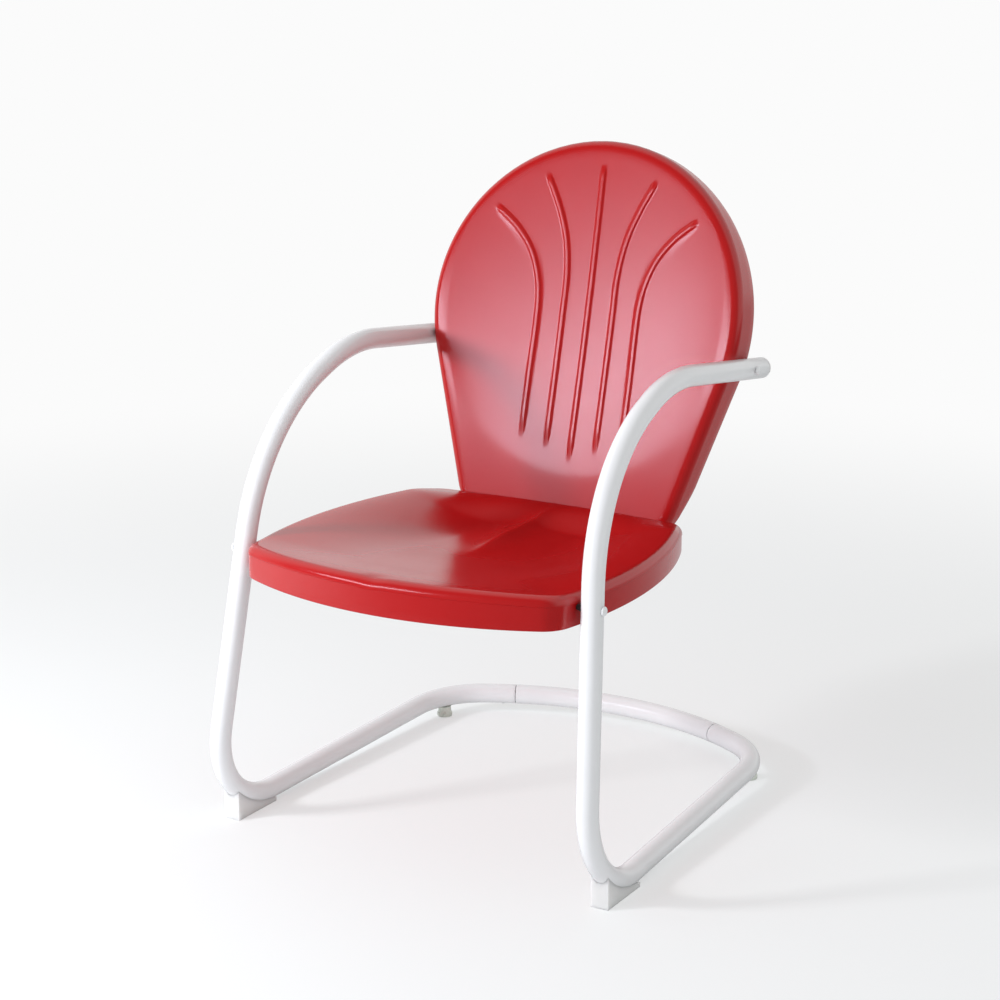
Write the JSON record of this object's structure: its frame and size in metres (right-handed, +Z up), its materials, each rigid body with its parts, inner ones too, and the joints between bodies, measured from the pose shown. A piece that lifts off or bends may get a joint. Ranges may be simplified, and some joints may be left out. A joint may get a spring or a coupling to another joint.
{
  "type": "metal spring lawn chair",
  "caption": "Retro metal lawn chair with a pressed red shell seat and round-topped ribbed back on a white bent-tube spring frame with arms.",
  "frame": {"origin": "on the floor, under the middle of the chair's bounding box", "axes": "+X to the right as seen from in front of the chair, -Y out of the front of the seat, +Z up"},
  "size_m": [0.5826, 0.6771, 0.8611],
  "materials": {
    "red_paint": "semi-gloss red powder coat on pressed sheet steel",
    "white_paint": "satin white powder coat on steel tube",
    "white_plastic": "satin moulded plastic",
    "bumper_plastic": "translucent grey-green moulded plastic",
    "zinc_steel": "bright zinc plate"
  },
  "bodies": {
    "base": {"floor_rail_left": "white_paint", "floor_rail_right": "white_paint", "front_foot_left": "white_plastic", "front_foot_right": "white_plastic", "rear_bumper_left": "bumper_plastic", "rear_bumper_right": "bumper_plastic", "rear_cross_tube": "white_paint", "seam_screw_left": "zinc_steel", "seam_screw_right": "zinc_steel", "spring_bend_left": "white_paint", "spring_bend_right": "white_paint"},
    "upper": {"arm_bolt_left": "white_paint", "arm_bolt_right": "white_paint", "arm_end_cap_left": "white_plastic", "arm_end_cap_right": "white_plastic", "arm_leg_tube_left": "white_paint", "arm_leg_tube_right": "white_paint", "arm_nut_left": "zinc_steel", "arm_nut_right": "zinc_steel", "back_bolt_centre": "zinc_steel", "back_bolt_left": "zinc_steel", "back_bolt_right": "zinc_steel", "back_nut_centre": "zinc_steel", "back_nut_left": "zinc_steel", "back_nut_right": "zinc_steel", "back_shell": "red_paint", "seat_bolt_left": "white_paint", "seat_bolt_right": "white_paint", "seat_nut_left": "zinc_steel", "seat_nut_right": "zinc_steel", "seat_shell": "red_paint", "seat_spacer_left": "zinc_steel", "seat_spacer_right": "zinc_steel"}
  },
  "joints": [
    {"name": "frame_flex", "type": "hinge", "parent": "base", "child": "upper", "pos_m": [0, -0.2477, 0.0601], "axis": [-1, 0, 0], "range_deg": [-2, 5], "stiffness_Nm_per_rad": 2400, "springref_deg": -0.43, "deforming": ["spring_bend_left", "spring_bend_right"]}
  ]
}
